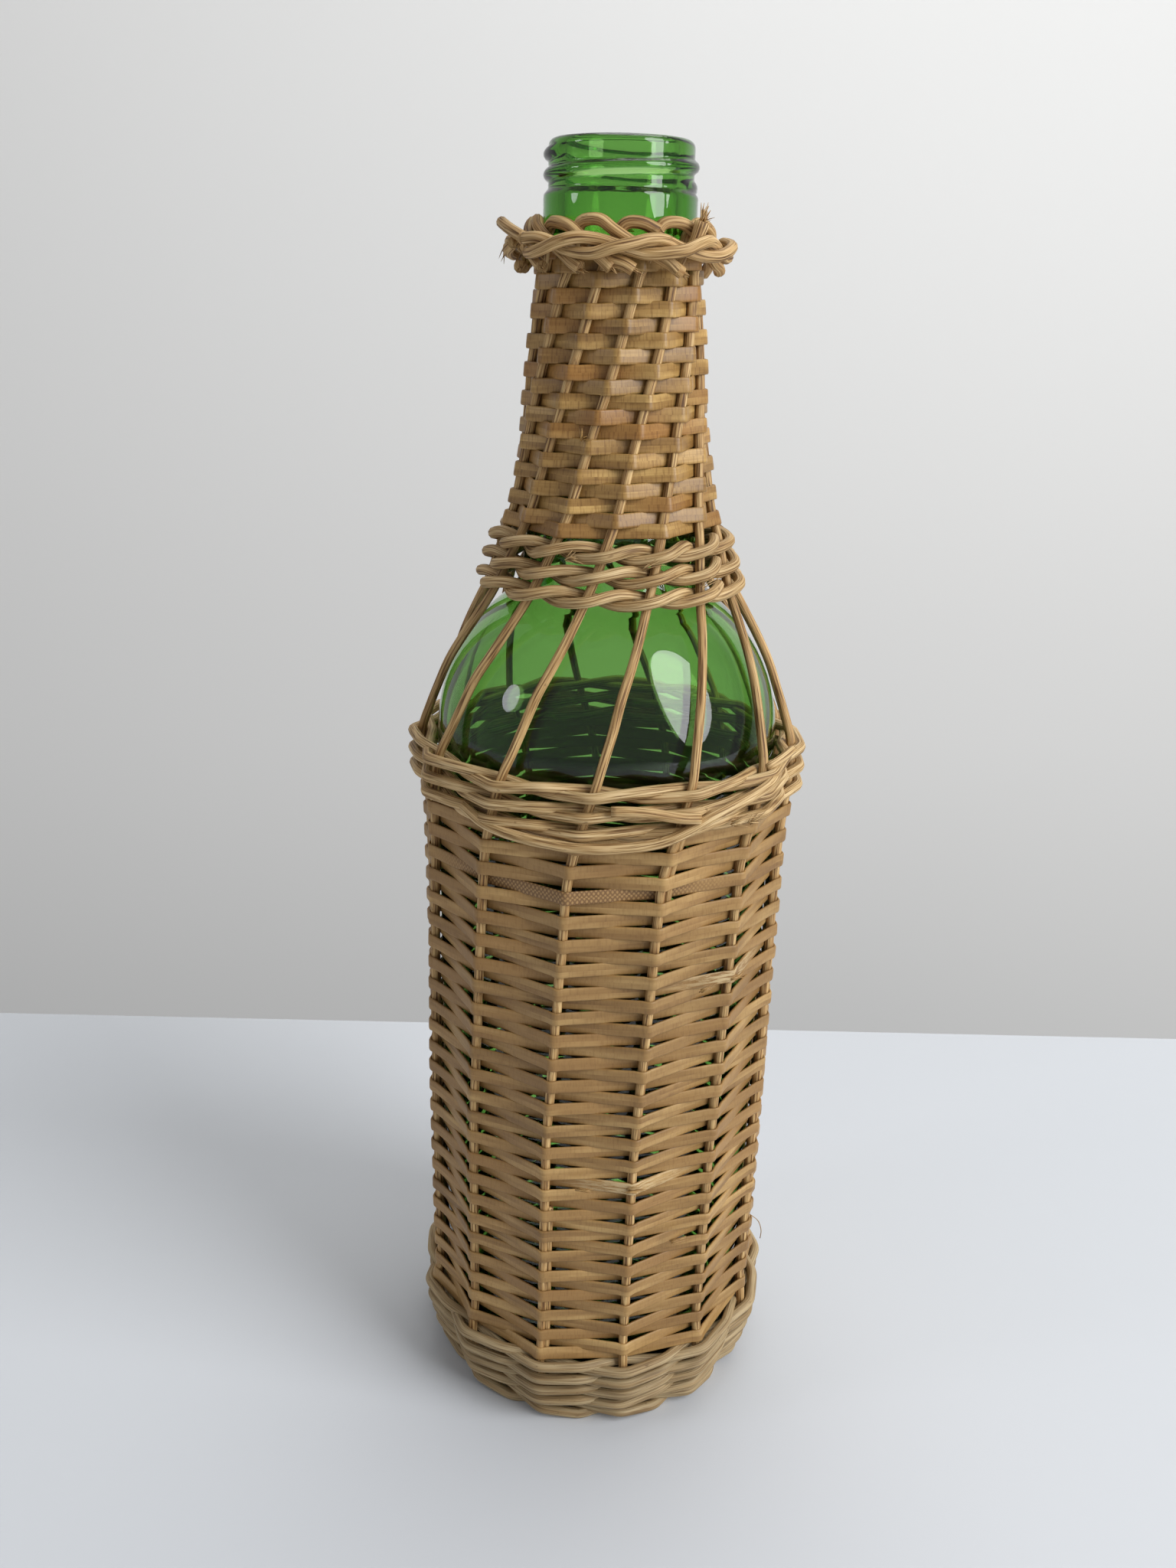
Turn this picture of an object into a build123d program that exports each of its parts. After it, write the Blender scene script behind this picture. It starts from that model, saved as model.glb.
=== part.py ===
"""Tall green screw-neck bottle in a full-height wicker jacket.

All lengths are in millimetres. The bottle's axis is Z, the foot of the basket
stands at z = 0 and the front of the bottle faces -Y. Azimuths are measured
from the front, growing towards +X.
"""
import os
from math import acos, atan2, cos, degrees, floor, hypot, radians, sin, sqrt, tan

from build123d import *

os.makedirs("parts", exist_ok=True)

# Glass bottle
glass_body_diameter = 85.5
glass_wall = 3.0
glass_floor = 4.5
heel_round = 20.0
punt_depth = 8.0
foot_rim_width = 2.5
straight_side_share = 0.5701
neck_foot_diameter = 42.6
neck_foot_climb = 0.7
neck_waist_diameter = 35.4
neck_waist_share = 0.455
neck_top_diameter = 29.8
neck_top_drop = 7.9
neck_root_round = 7.0
finish_diameter = 34.6
bead_height = 8.5
bead_slope_height = 3.0
thread_depth = 1.05
thread_pitch = 4.23
thread_width = 2.3
thread_crest_width = 1.1
thread_sink = 0.5
thread_turns = 1.6
thread_start_azimuth = 60.0
thread_foot_gap = 1.4
finish_height = 11.4
lip_round = 1.7
mouth_bore = 25.0
bottle_height = 315.9

# Canes
stake_diameter = 2.1
round_cane_diameter = 2.7
strip_width = 3.05
strip_thickness = 0.7
strip_rise = 3.2
cane_clearance = 0.05
strip_clearance = 0.1
neck_strip_clearance = 0.2
glass_clearance = 0.05
ground_flat = 0.5
stake_bend_round = 4.0
longest_bend = 14.0
row_bend_cut = 0.42

# Basket: heights of the rows of round cane, and the waist of the stakes
stake_count = 13
front_stake_azimuth = -3.4
base_hub_radius = 5.6
base_ring_rise = 2.8
base_curl_radius = 1.5
foot_row_height = 7.4
foot_row_rise = 4.5
foot_row_count = 4
shoulder_row_drop = 10.2
shoulder_row_rise = 4.5
shoulder_row_count = 3
collar_row_drop = 3.6
collar_row_rise = 4.9
collar_row_count = 3
row_swing_depth = 0.95
row_swing_height = 0.95
collar_swing_depth = 0.3
collar_swing_height = 1.3
foot_stake_tuck = 0.15
toe_angle = 40.0
toe_clearance = 0.15
lower_body_stake_gap = 2.4
upper_body_stake_gap = 3.1
wale_stake_gap = 4.15
shoulder_mid_stake_gap = 1.55
shoulder_mid_angle = 26.7
collar_stake_gap = 8.4
collar_top_stake_gap = 4.6
neck_foot_stake_gap = 2.1
neck_waist_stake_gap = 3.25
neck_top_stake_gap = 2.7

# The stakes lean to the right as they climb: the angle of each height from the
# place where the stake leaves the shoulder rows, in degrees
foot_angle = -14.0
mid_body_angle = -13.0
upper_body_angle = -7.5
shoulder_mid_lean_angle = 7.4
collar_foot_angle = 19.0
collar_top_angle = 27.0
neck_foot_angle = 33.0
neck_mid_angle = 43.5
neck_top_angle = 74.0

# Border: each stake loops over the next and its cut end points down outside
# Drops are from the lip, gaps outwards from the glass of the mouth
border_start_drop = 26.4
border_rise_drop = 23.5
border_rise_gap = 0.7
border_crest_drop = 17.7
border_crest_gap = 1.4
border_far_drop = 17.7
border_far_gap = 3.1
border_dip_drop = 23.0
border_dip_gap = 2.85
border_under_drop = 25.9
border_under_gap = 4.3
border_end_drop = 27.3
border_end_gap = 6.5
border_rise_steps_share = 0.3
border_crest_steps_share = 0.66
border_far_steps_share = 1.28
border_dip_steps_share = 1.93
border_under_steps_share = 2.28
border_end_steps_share = 2.68
plait_ring_gap = 6.7
plait_drop = 22.1
plait_swing = 1.56
plait_diameter = 2.7
plait_turns = 5
plait_points_per_turn = 8

# Worked out from the sizes above
stake_radius = stake_diameter / 2
cane_radius = round_cane_diameter / 2
glass_radius = glass_body_diameter / 2
finish_radius = finish_diameter / 2
bore_radius = mouth_bore / 2
ground_cane_height = cane_radius - ground_flat
spoke_height = ground_cane_height + cane_radius + cane_clearance + stake_radius
glass_base = spoke_height + stake_radius + glass_clearance
dome_height = glass_base + straight_side_share * bottle_height
lip_height = glass_base + bottle_height
bead_top = lip_height - finish_height
bead_bottom = bead_top - bead_height
shoulder_row_height = dome_height - shoulder_row_drop
collar_row_height = dome_height + glass_radius - collar_row_drop
neck_foot_height = dome_height + glass_radius + neck_foot_climb
neck_top_height = bead_bottom - bead_slope_height - neck_top_drop
neck_waist_height = neck_foot_height + neck_waist_share * (neck_top_height - neck_foot_height)
neck_foot_radius = neck_foot_diameter / 2
neck_waist_radius = neck_waist_diameter / 2
neck_top_radius = neck_top_diameter / 2
foot_stake_radius = glass_radius - foot_stake_tuck
lower_body_stake_radius = glass_radius + lower_body_stake_gap
upper_body_stake_radius = glass_radius + upper_body_stake_gap
wale_stake_radius = glass_radius + wale_stake_gap
shoulder_mid_reach = glass_radius + shoulder_mid_stake_gap
border_start_height = lip_height - border_start_drop
stake_step = 360 / stake_count
row_reach = stake_radius + cane_radius + cane_clearance


def polar(radius, azimuth, height):
    """The point at a distance from the axis, an azimuth and a height."""
    a = radians(azimuth)
    return Vector(radius * sin(a), -radius * cos(a), height)


# Height, distance from the axis and lean of a stake from the foot to the neck
foot_row_top = foot_row_height + foot_row_rise * (foot_row_count - 1)
body_foot_height = foot_row_top + row_swing_height + cane_radius
shoulder_top = shoulder_row_height + shoulder_row_rise * (shoulder_row_count - 1)
collar_top = collar_row_height + collar_row_rise * (collar_row_count - 1)
body_height = shoulder_row_height - body_foot_height
neck_height = border_start_height - collar_top
shoulder_exit = shoulder_top + cane_radius
collar_entry = collar_row_height - cane_radius
body_mid_share = 0.42
body_upper_share = 0.92
neck_foot_share = 0.13
neck_low_share = 0.4
neck_high_share = 0.7
stake_stations = [
    (spoke_height, foot_stake_radius, foot_angle),
    (foot_row_top, wale_stake_radius, foot_angle),
    (body_foot_height + row_reach, lower_body_stake_radius, foot_angle),
    (body_foot_height + body_mid_share * body_height, upper_body_stake_radius, mid_body_angle),
    (body_foot_height + body_upper_share * body_height, upper_body_stake_radius, upper_body_angle),
    (shoulder_row_height, wale_stake_radius, upper_body_angle / 2),
    (shoulder_exit, wale_stake_radius, 0),
    (dome_height + shoulder_mid_reach * sin(radians(shoulder_mid_angle)),
     shoulder_mid_reach * cos(radians(shoulder_mid_angle)), shoulder_mid_lean_angle),
    (collar_entry, neck_foot_radius + collar_stake_gap, collar_foot_angle),
    (collar_top, neck_foot_radius + collar_top_stake_gap, collar_top_angle),
    (collar_top + neck_foot_share * neck_height, neck_foot_radius + neck_foot_stake_gap, neck_foot_angle),
    (collar_top + neck_low_share * neck_height, neck_waist_radius + neck_waist_stake_gap, neck_mid_angle),
    (collar_top + neck_high_share * neck_height,
     (neck_waist_radius + neck_waist_stake_gap + neck_top_radius + neck_top_stake_gap) / 2,
     (neck_mid_angle + neck_top_angle) / 2),
    (border_start_height, neck_top_radius + neck_top_stake_gap, neck_top_angle),
]


def stake_at(height):
    """Distance from the axis and lean of the stakes' line at a height."""
    spots = [polar(radius, lean, z) for z, radius, lean in stake_stations]
    for low, high in zip(spots, spots[1:]):
        if height <= high.Z:
            break
    share = (height - low.Z) / (high.Z - low.Z)
    spot = low + (high - low) * share
    return hypot(spot.X, spot.Y), degrees(atan2(spot.X, -spot.Y))


def stake_azimuth(index, height):
    """Azimuth of one stake at a height."""
    return front_stake_azimuth + index * stake_step + stake_at(height)[1]


def bend_radii(points):
    """The bend at each inner point of a route, as large as its two runs allow."""
    run_use_share = 0.45
    radii = []
    for before, here, after in zip(points, points[1:], points[2:]):
        run_in = here - before
        run_out = after - here
        turn = radians(run_in.get_angle(run_out))
        reach = run_use_share * min(run_in.length, run_out.length)
        radii.append(min(longest_bend, reach / tan(turn / 2)))
    return radii


def cane(points, diameter, radii=None):
    """A round cane along straight runs joined by tangent bends."""
    with BuildPart() as piece:
        with BuildLine() as route:
            FilletPolyline(*points, radius=radii or bend_radii(points))
        with BuildSketch(Plane(origin=route.line @ 0, z_dir=route.line % 0)):
            Circle(diameter / 2)
        sweep()
    return piece.part


def save(piece, name):
    """Label a finished piece and write it under its own name."""
    piece.label = name
    export_step(piece, f"parts/{name}.step")


# Glass bottle: revolved wall with a punt, a domed shoulder and a threaded mouth
inner_radius = glass_radius - glass_wall
neck_wall = neck_top_radius - bore_radius
root_radius = finish_radius - thread_depth
punt_radius = glass_radius - heel_round - foot_rim_width
floor_height = glass_base + glass_floor
inner_heel = heel_round - glass_wall


def arc_spot(centre, radius, angle):
    """The point of a circle at an angle from the horizontal."""
    return (centre[0] + radius * cos(radians(angle)), centre[1] + radius * sin(radians(angle)))


def hollow(edge_radius, edge_height):
    """The shallow arch of the punt, from its edge to the axis."""
    arch_radius = (edge_radius**2 + punt_depth**2) / (2 * punt_depth)
    centre = (0, edge_height + punt_depth - arch_radius)
    edge_angle = degrees(acos(edge_radius / arch_radius))
    middle = arc_spot(centre, arch_radius, (edge_angle + 90) / 2)
    ThreePointArc((edge_radius, edge_height), middle, (0, edge_height + punt_depth))


def side(radius, foot, heel, neck_radius):
    """Heel, straight side and domed shoulder; gives where the neck begins."""
    centre = (radius - heel, foot + heel)
    ThreePointArc(arc_spot(centre, heel, -90), arc_spot(centre, heel, -45), arc_spot(centre, heel, 0))
    Line((radius, foot + heel), (radius, dome_height))
    exit_angle = degrees(acos(neck_radius / radius))
    dome = (0, dome_height)
    neck_start = arc_spot(dome, radius, exit_angle)
    ThreePointArc((radius, dome_height), arc_spot(dome, radius, exit_angle / 2), neck_start)
    return neck_start


with BuildPart() as glass_bottle:
    with BuildSketch(Plane.XZ) as outside:
        with BuildLine():
            hollow(punt_radius, glass_base)
            Line((punt_radius, glass_base), (glass_radius - heel_round, glass_base))
            neck_start = side(glass_radius, glass_base, heel_round, neck_foot_radius)
            Polyline(
                neck_start,
                (neck_foot_radius, neck_foot_height),
                (neck_waist_radius, neck_waist_height),
                (neck_top_radius, neck_top_height),
                (neck_top_radius, bead_bottom - bead_slope_height),
                (finish_radius, bead_bottom),
                (finish_radius, bead_top),
                (root_radius, bead_top + thread_depth),
                (root_radius, lip_height),
                (0, lip_height),
                (0, glass_base + punt_depth),
            )
        make_face()
        neck_root = outside.vertices().sort_by_distance((neck_start[0], neck_start[1], 0))[0]
        fillet(neck_root, radius=neck_root_round)
        lip_edge = outside.vertices().sort_by_distance((root_radius, lip_height, 0))[0]
        fillet(lip_edge, radius=lip_round)
    revolve(axis=Axis.Z)
    with BuildSketch(Plane.XZ) as inside:
        with BuildLine():
            hollow(inner_radius - inner_heel, floor_height)
            neck_start = side(inner_radius, floor_height, inner_heel, neck_foot_radius - neck_wall)
            Polyline(
                neck_start,
                (neck_foot_radius - neck_wall, neck_foot_height),
                (neck_waist_radius - neck_wall, neck_waist_height),
                (bore_radius, neck_top_height),
                (bore_radius, lip_height),
                (0, lip_height),
                (0, floor_height + punt_depth),
            )
        make_face()
    revolve(axis=Axis.Z, mode=Mode.SUBTRACT)
    fillet(glass_bottle.edges().group_by(Axis.Z)[-1].sort_by(SortBy.RADIUS)[0], radius=lip_round / 2)

thread_start = Plane(
    origin=(0, 0, bead_top + thread_foot_gap),
    x_dir=polar(finish_radius, thread_start_azimuth, 0),
    z_dir=(0, 0, 1),
)
with BuildPart() as thread:
    with BuildLine(thread_start) as spiral:
        Helix(thread_pitch, thread_pitch * thread_turns, root_radius)
    foot = spiral.line @ 0
    outward = Vector(foot.X, foot.Y, 0).normalized()
    with BuildSketch(Plane(origin=foot, x_dir=outward, z_dir=spiral.line % 0)):
        with BuildLine():
            Polyline(
                (-thread_sink, -thread_width / 2),
                (0, -thread_width / 2),
                (thread_depth, -thread_crest_width / 2),
                (thread_depth, thread_crest_width / 2),
                (0, thread_width / 2),
                (-thread_sink, thread_width / 2),
                close=True,
            )
        make_face()
    sweep(is_frenet=True)

with BuildPart() as glass:
    add(glass_bottle.part)
    add(thread.part)
save(glass.part, "glass_bottle")


# Stakes: each runs out under the bottle, up its side and round its neck, and
# then loops over its neighbour to end outside the border
border_stations = [
    (border_rise_steps_share, border_rise_gap, border_rise_drop),
    (border_crest_steps_share, border_crest_gap, border_crest_drop),
    (border_far_steps_share, border_far_gap, border_far_drop),
    (border_dip_steps_share, border_dip_gap, border_dip_drop),
    (border_under_steps_share, border_under_gap, border_under_drop),
    (border_end_steps_share, border_end_gap, border_end_drop),
]


def stake_points(index):
    """The route of one stake, from the hub of the base to its cut end."""
    start = front_stake_azimuth + index * stake_step
    points = [
        polar(base_hub_radius, start + foot_angle, spoke_height),
        polar(foot_stake_radius, start + foot_angle, spoke_height),
    ]
    points += [polar(radius, start + lean, z) for z, radius, lean in stake_stations[1:]]
    for steps, gap, drop in border_stations:
        azimuth = start + neck_top_angle + steps * stake_step
        points.append(polar(finish_radius + gap, azimuth, lip_height - drop))
    return points


for index in range(stake_count):
    points = stake_points(index)
    radii = bend_radii(points)
    radii[0] = stake_bend_round
    save(cane(points, stake_diameter, radii), f"stake_{index + 1:02d}")


# Rows of round cane: two canes twist about each other round the stakes, so an
# odd count of stakes makes them one cane that goes round twice
def twined_row(height, swing_depth, swing_height, inner_spot=None, outer_spot=None):
    """One twined row, its ends tucked in together at the back."""
    radius = stake_at(height)[0]
    fall = (stake_at(height - cane_radius)[0] - stake_at(height + cane_radius)[0]) / round_cane_diameter
    reach = row_reach * hypot(fall, 1) + row_bend_cut
    inner_spot = inner_spot or (radius - reach, height)
    outer_spot = outer_spot or (radius + reach, height)
    middle = ((inner_spot[0] + outer_spot[0]) / 2, (inner_spot[1] + outer_spot[1]) / 2)
    rising_out = (middle[0] - swing_depth, middle[1] - swing_height)
    turning_in = (middle[0] + swing_depth, middle[1] + swing_height)
    spots = [inner_spot, rising_out, outer_spot, turning_in]
    back_stake = stake_count // 2
    points = []
    for half_step in range(4 * stake_count):
        azimuth = stake_azimuth(back_stake + half_step / 2, height)
        points.append(polar(spots[half_step % 4][0], azimuth, spots[half_step % 4][1]))
    return cane(points, round_cane_diameter)


ground_spot = (foot_stake_radius - stake_bend_round, ground_cane_height)
flare_angle = degrees(atan2(foot_row_top - spoke_height, wale_stake_radius - foot_stake_radius))
bend_run = stake_bend_round * tan(radians(flare_angle / 2))
toe_reach = stake_bend_round + row_reach + toe_clearance
toe_spot = (
    foot_stake_radius - bend_run + toe_reach * cos(radians(toe_angle)),
    spoke_height + stake_bend_round - toe_reach * sin(radians(toe_angle)),
)
foot_row = twined_row(foot_row_height, row_swing_depth, -row_swing_height, ground_spot, toe_spot)
with BuildPart() as toe_row:
    add(foot_row)
    split(bisect_by=Plane.XY, keep=Keep.TOP)
save(toe_row.part, "foot_row_1")

for row in range(foot_row_count):
    height = foot_row_height + row * foot_row_rise
    save(twined_row(height, row_swing_depth, row_swing_height), f"foot_row_{row + 2}")
for row in range(shoulder_row_count):
    height = shoulder_row_height + row * shoulder_row_rise
    save(twined_row(height, row_swing_depth, row_swing_height), f"shoulder_row_{row + 1}")
for row in range(collar_row_count):
    height = collar_row_height + row * collar_row_rise
    save(twined_row(height, collar_swing_depth, collar_swing_height), f"collar_row_{row + 1}")


# Base: the weaver's tight first curl and its rings, under the spokes and worn
# flat where they stand
first_ring = base_curl_radius + cane_radius + cane_clearance
last_ring = ground_spot[0] - round_cane_diameter - cane_clearance
ring_count = floor((last_ring - first_ring) / base_ring_rise) + 1
with BuildPart() as base_rings:
    with BuildSketch(Plane.XY):
        Circle(base_curl_radius)
    extrude(amount=ground_cane_height + cane_radius)
    for ring in range(ring_count):
        with BuildSketch(Plane.XZ):
            with Locations((first_ring + ring * base_ring_rise, ground_cane_height)):
                Circle(cane_radius)
        revolve(axis=Axis.Z)
    split(bisect_by=Plane.XY, keep=Keep.TOP)
save(base_rings.part, "base_rings")


# Flat strips: each row runs straight between stakes, in front of one and
# behind the next, and the rows above and below do the opposite
def strip_corners(height, first_outside, clearance, face_side):
    """Corners of one face of a row of strip; face_side is +1 out, -1 in."""
    radius, lean = stake_at(height)
    reach = stake_radius + clearance + strip_thickness / 2
    chord = 2 * radius * sin(radians(stake_step / 2))
    slope = degrees(atan2(2 * reach, chord))
    outer_turn = radians(stake_step / 2 + slope)
    corners = []
    for index in range(stake_count):
        azimuth = stake_azimuth(index + stake_count // 2 + 1, height)
        outside = (index + first_outside) % 2
        if index == 0 and not outside and not (stake_count - 1 + first_outside) % 2:
            spot = radius - reach + face_side * strip_thickness / 2
            corners.append(polar(spot, azimuth - stake_step / 2, height))
        if outside:
            spot = radius + reach / cos(outer_turn)
            corners.append(polar(spot + face_side * strip_thickness / 2 / cos(outer_turn), azimuth, height))
        else:
            corners.append(polar(radius - reach + face_side * strip_thickness / 2, azimuth, height))
    return corners


def strip_rows(bottom, first_row, row_count, clearance):
    """A band of strip rows, counted from the bottom row of the weave."""
    with BuildPart() as band:
        for row in range(first_row, first_row + row_count):
            height = bottom + row * strip_rise
            middle = height + strip_width / 2
            with BuildSketch(Plane.XY.offset(height)):
                for face_side, mode in ((1, Mode.ADD), (-1, Mode.SUBTRACT)):
                    corners = strip_corners(middle, row % 2, clearance, face_side)
                    with BuildLine():
                        Polyline(*[(c.X, c.Y) for c in corners], close=True)
                    make_face(mode=mode)
            extrude(amount=strip_width)
    return band.part


weave_foot = body_foot_height
weave_top = shoulder_row_height - row_swing_height - cane_radius
body_row_count = floor((weave_top - weave_foot) / strip_rise)
body_weavers = 4
neck_weave_foot = collar_top + collar_swing_height + cane_radius + strip_clearance
neck_row_count = floor((border_start_height - neck_weave_foot) / strip_rise)
neck_weavers = 2


def save_weavers(name, bottom, row_count, weaver_count, clearance):
    """Divide a weave among its lengths of strip, one under the other."""
    for weaver in range(weaver_count):
        first = row_count * weaver // weaver_count
        last = row_count * (weaver + 1) // weaver_count
        save(strip_rows(bottom, first, last - first, clearance), f"{name}_{weaver + 1}")


save_weavers("body_weaver", weave_foot, body_row_count, body_weavers, strip_clearance)
save_weavers("neck_weaver", neck_weave_foot, neck_row_count, neck_weavers, neck_strip_clearance)


# Border plait: two canes twisted into a wreath outside the loops
def plait_strand(first_angle):
    """One cane of the wreath, with its ends a little apart at the back."""
    count = plait_turns * plait_points_per_turn
    points = []
    for step in range(count):
        turn = first_angle + 360 / plait_points_per_turn * step
        radius = finish_radius + plait_ring_gap + plait_swing * cos(radians(turn))
        height = lip_height - plait_drop + plait_swing * sin(radians(turn))
        points.append(polar(radius, 180 + 360 / count * step, height))
    return cane(points, plait_diameter)


save(plait_strand(0), "border_plait_1")
save(plait_strand(180), "border_plait_2")
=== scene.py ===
import random
from math import atan2, cos, degrees, hypot, radians, sin, tau

import bmesh
import bpy
import numpy as np
from mathutils import Matrix, Vector


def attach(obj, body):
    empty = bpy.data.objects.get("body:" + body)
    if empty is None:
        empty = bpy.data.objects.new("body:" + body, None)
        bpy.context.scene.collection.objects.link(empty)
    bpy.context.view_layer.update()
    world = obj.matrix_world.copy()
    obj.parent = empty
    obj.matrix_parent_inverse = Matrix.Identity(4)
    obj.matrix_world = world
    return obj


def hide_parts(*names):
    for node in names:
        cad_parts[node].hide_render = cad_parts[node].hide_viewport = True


# Tall green screw-neck bottle in a wicker jacket. Sizes are in millimetres
# until a mesh is made. The bottle's axis is Z, and azimuths grow from the
# front, -Y, towards +X.
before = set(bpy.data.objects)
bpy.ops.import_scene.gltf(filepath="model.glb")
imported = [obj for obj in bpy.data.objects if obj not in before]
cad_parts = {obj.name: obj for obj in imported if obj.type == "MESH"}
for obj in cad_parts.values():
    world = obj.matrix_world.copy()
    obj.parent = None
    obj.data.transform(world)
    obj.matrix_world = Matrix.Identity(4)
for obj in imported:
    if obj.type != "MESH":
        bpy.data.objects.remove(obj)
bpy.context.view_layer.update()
MM = 0.001

# Stakes of reed, rows of round cane and weaves of flat cane. The azimuth is
# that of the first stake where it doesn't lean.
STAKES = 13
STEP = 360 / STAKES
FRONT_STAKE = -3.4
STAKE_R = 1.05
ROUND_R = 1.35
STRIP_THICK = 0.7
STRIP_RISE = 3.2

# The line of the stakes: height, distance from the axis, lean in degrees. Its
# corners are rounded over a height either way.
LINE_Z, LINE_R, LINE_LEAN = zip(
    (3.3, 42.6, -14.0), (20.9, 46.9, -14.0), (25.65, 45.2, -14.0), (86.7, 45.85, -13.0),
    (162.2, 45.85, -7.5), (174.3, 46.9, -3.75), (184.6, 46.9, 0.0), (204.4, 39.6, 7.4),
    (222.3, 29.7, 19.0), (233.4, 25.9, 27.0), (241.3, 23.4, 33.0), (257.6, 20.95, 43.5),
    (275.8, 19.3, 58.75), (293.9, 17.6, 74.0),
)
LINE_ROUNDING = 2.5
LINE_SAMPLES = 7


def polar(radius, azimuth, height):
    """A point at a distance from the axis, an azimuth and a height."""
    a = radians(azimuth)
    return Vector((radius * sin(a), -radius * cos(a), height))


def polars(places):
    """The points of a list of distances, azimuths and heights."""
    return [polar(*place) for place in places]


def waver(chance, most):
    """A random shift of up to so much either way."""
    return chance.uniform(-most, most)


def stake_at(height):
    """Distance from the axis and lean of the stakes at a height."""
    near = height + LINE_ROUNDING * np.linspace(-1.0, 1.0, LINE_SAMPLES)
    return float(np.interp(near, LINE_Z, LINE_R).mean()), float(np.interp(near, LINE_Z, LINE_LEAN).mean())


def stake_azimuth(index, height):
    """Azimuth of one stake at a height."""
    return FRONT_STAKE + index * STEP + stake_at(height)[1]


def flowing(points, steps, closed=False):
    """A smooth run through the points, in so many steps from each to the next."""
    count = len(points)
    made = []
    for i in range(count if closed else count - 1):
        if closed:
            before, here, there, after = (points[(i + k) % count] for k in (-1, 0, 1, 2))
        else:
            here, there = points[i], points[i + 1]
            before = points[i - 1] if i else here * 2 - there
            after = points[i + 2] if i + 2 < count else there * 2 - here
        pairs = ((before, here), (here, there), (there, after))
        d0, d1, d2 = (max((q - p).length, 1e-6) ** 0.5 for p, q in pairs)
        leaving = ((here - before) / d0 - (there - before) / (d0 + d1) + (there - here) / d1) * d1
        arriving = ((there - here) / d1 - (after - here) / (d1 + d2) + (after - there) / d2) * d1
        for k in range(steps):
            s = k / steps
            made.append(
                here * (2 * s**3 - 3 * s**2 + 1) + leaving * (s**3 - 2 * s**2 + s)
                + there * (3 * s**2 - 2 * s**3) + arriving * (s**3 - s**2)
            )
    if not closed:
        made.append(points[-1].copy())
    return made


def cornered(points, reach):
    """A closed run of straight lengths, with a short bend at each point."""
    far, near, past = 1.6, 0.6, 0.12
    made = []
    for i, here in enumerate(points):
        before = (points[i - 1] - here).normalized() * reach
        after = (points[(i + 1) % len(points)] - here).normalized() * reach
        made += [
            here + before * far, here + before * near + after * past,
            here + before * past + after * near, here + after * far,
        ]
    return made


# Colours and materials
def linear(code):
    """Linear colour of an sRGB hex value."""
    parts = [int(code[i:i + 2], 16) / 255 for i in (1, 3, 5)]
    return tuple(c / 12.92 if c <= 0.04045 else ((c + 0.055) / 1.055) ** 2.4 for c in parts) + (1.0,)


def add(tree, kind, inputs=None, **settings):
    """One node, with its settings and its inputs, each a value or a link."""
    made = tree.nodes.new("ShaderNode" + kind)
    for name, value in settings.items():
        setattr(made, name, value)
    for name, value in (inputs or {}).items():
        if isinstance(value, bpy.types.NodeSocket):
            tree.links.new(value, made.inputs[name])
        else:
            made.inputs[name].default_value = value
    return made


def set_inputs(node, values):
    """Puts values on a node's own sockets."""
    for name, value in values.items():
        node.inputs[name].default_value = value


def stopped(ramp, stops):
    """The colour of a ramp, given its stops of (place, sRGB hex)."""
    elements = ramp.color_ramp.elements
    while len(elements) < len(stops):
        elements.new(1.0)
    for element, (place, code) in zip(elements, stops):
        element.position = place
        element.color = linear(code)
    return ramp.outputs["Color"]


def new_material(name):
    """An empty material with its main shader and output."""
    made = bpy.data.materials.new(name)
    made.use_nodes = True
    tree = made.node_tree
    tree.nodes.clear()
    output = add(tree, "OutputMaterial")
    surface = add(tree, "BsdfPrincipled")
    tree.links.new(surface.outputs["BSDF"], output.inputs["Surface"])
    return made, tree, surface, output


def along_grain(tree, across_mm, along_mm):
    """The cane's own coordinates, round it and along it, divided by the width
    and length of a mark in millimetres."""
    uv = add(tree, "UVMap", uv_map="UVMap")
    return add(
        tree, "Mapping",
        {"Vector": uv.outputs["UV"], "Scale": (1 / (across_mm * MM), 1 / (along_mm * MM), 1.0)},
    ).outputs["Vector"]


def darkened(tree, colour, layers):
    """A colour multiplied by layers, each a colour and the share it has."""
    for layer, share in layers:
        colour = add(
            tree, "Mix", {"Factor": share, "A": colour, "B": layer}, data_type="RGBA", blend_type="MULTIPLY",
        ).outputs["Result"]
    return colour


def covered(tree, under, over, share):
    """A colour covered by another where the share is high."""
    return add(tree, "Mix", {"Factor": share, "A": under, "B": over}, data_type="RGBA").outputs["Result"]


def coat_share(tree, coat):
    """The share of a coat that is stored on the mesh."""
    return add(tree, "Attribute", attribute_name=coat).outputs["Fac"]


def toned(tree, surface, colour):
    """Gives the surface a colour at the cane's own tone."""
    last = add(tree, "HueSaturation", {"Color": colour, "Value": coat_share(tree, "tone")})
    tree.links.new(last.outputs["Color"], surface.inputs["Base Color"])


def roughened(tree, surface, height, strength, depth_mm):
    """Gives the surface a bump so many millimetres deep."""
    bump = add(tree, "Bump", {"Height": height, "Strength": strength, "Distance": depth_mm * MM})
    tree.links.new(bump.outputs["Normal"], surface.inputs["Normal"])


# Peeled reed: the round core of rattan, pulled through a die. Its long open
# vessels show as dark lengthwise lines on a dry, pale, matt surface; the lines
# are partly the vessels' own colour and partly painted shade in their grooves.
# A mark's size is its width and length in millimetres. The vessels are under
# 0.3 wide on the real reed, and are drawn coarser so that they show.
REED_VESSEL = (0.42, 13.0)
REED_STREAK = (1.2, 30.0)
REED_FLECK = (1.1, 2.6)


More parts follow.
